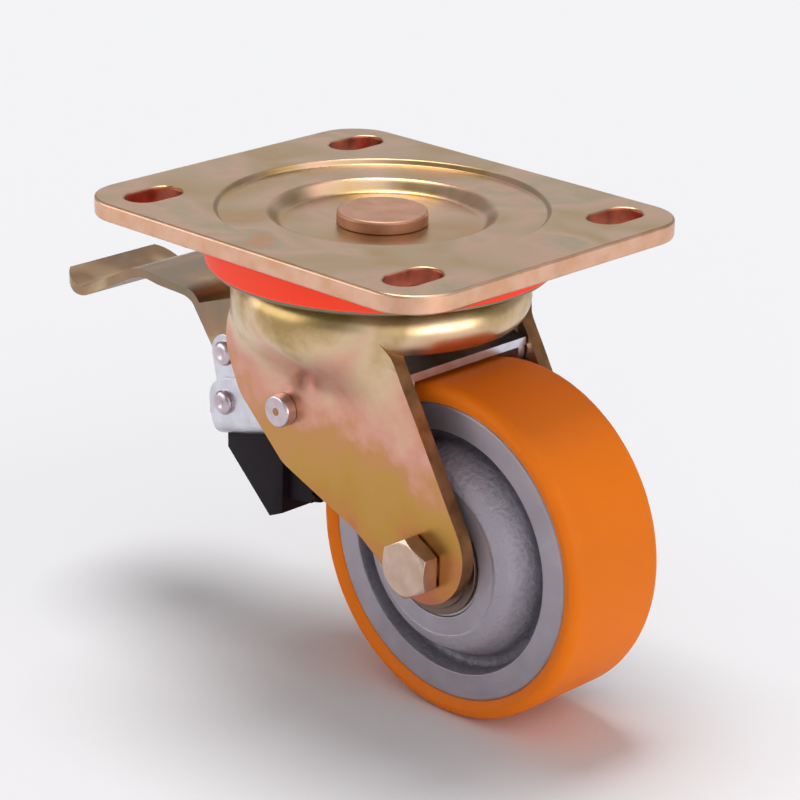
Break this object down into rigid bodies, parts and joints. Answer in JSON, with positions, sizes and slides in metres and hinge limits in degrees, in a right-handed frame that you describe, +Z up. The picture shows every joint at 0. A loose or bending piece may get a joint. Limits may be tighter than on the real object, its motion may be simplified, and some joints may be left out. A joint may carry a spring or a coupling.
{
  "type": "swivel castor with pedal brake",
  "caption": "Heavy-duty swivel castor: pressed steel fork on a ball race under a slotted top plate, polyurethane tread on an iron wheel, and a toggle pedal brake.",
  "frame": {"origin": "On the swivel axis, in the plane of the top plate's mounting face, at the centre of the slot pattern.", "axes": "+Z points up, away from the wheel. +X lies along the axle, towards the bolt's head, and along the slots. +Y points from the swivel axis to the wheel, and the pedal is towards -Y."},
  "size_m": [0.116, 0.2155, 0.14],
  "materials": {
    "gold_zinc": "yellow passivated zinc plate, faintly iridescent",
    "blue_zinc": "bright bluish zinc plate",
    "bolt_zinc": "pale zinc plate",
    "plain_steel": "plain machined steel",
    "bearing_steel": "ground and polished",
    "cast_iron": "rough as cast, machined on the rim and hub faces",
    "tread_polyurethane": "smooth satin polyurethane",
    "seal_plastic": "satin moulded plastic",
    "shoe_plastic": "dark moulded plastic"
  },
  "bodies": {
    "plate": {"top_plate": "gold_zinc", "kingpin": "gold_zinc", "kingpin_nut": "plain_steel", "lower_race": "gold_zinc", "lower_balls": "bearing_steel"},
    "fork": {"fork": "gold_zinc", "race_ring": "gold_zinc", "dust_seal": "seal_plastic", "upper_balls": "bearing_steel", "axle_bolt": "bolt_zinc", "axle_washer": "blue_zinc", "axle_nut": "blue_zinc", "axle_sleeve": "plain_steel", "spacer_tube": "plain_steel", "dust_washers": "bolt_zinc", "bearing_inner_rings": "bearing_steel", "brake_pin": "bolt_zinc", "brake_pin_clip": "plain_steel", "pedal_pin": "plain_steel"},
    "wheel": {"wheel_core": "cast_iron", "tread": "tread_polyurethane", "bearing_outer_rings": "bearing_steel", "bearing_balls": "bearing_steel", "bearing_shields": "plain_steel"},
    "brake": {"brake_bracket": "blue_zinc", "brake_shoe": "shoe_plastic", "lower_rivets": "blue_zinc"},
    "link": {"toggle_link_right": "blue_zinc", "toggle_link_left": "blue_zinc", "upper_rivets": "blue_zinc"},
    "pedal": {"brake_pedal": "gold_zinc", "return_spring": "plain_steel"}
  },
  "joints": [
    {"name": "swivel", "type": "hinge", "parent": "plate", "child": "fork", "pos_m": [0, 0, -0.02], "axis": [0, 0, 1], "continuous": true},
    {"name": "wheel_spin", "type": "hinge", "parent": "fork", "child": "wheel", "pos_m": [0, 0.0444, -0.09005], "axis": [1, 0, 0], "continuous": true},
    {"name": "pedal_tilt", "type": "hinge", "parent": "fork", "child": "pedal", "pos_m": [0, -0.031, -0.03605], "axis": [1, 0, 0], "range_deg": [0, 13.5]},
    {"name": "brake_rock", "type": "hinge", "parent": "fork", "child": "brake", "pos_m": [0, -0.00997, -0.05802], "axis": [1, 0, 0], "range_deg": [0, 5.5]},
    {"name": "link_swing", "type": "hinge", "parent": "brake", "child": "link", "pos_m": [0, -0.04097, -0.06552], "axis": [1, 0, 0], "range_deg": [-18, 0]}
  ],
  "couplings": [
    {"joint": "brake_rock", "follows": "pedal_tilt", "ratio": 0.4074},
    {"joint": "link_swing", "follows": "pedal_tilt", "ratio": -1.332}
  ]
}
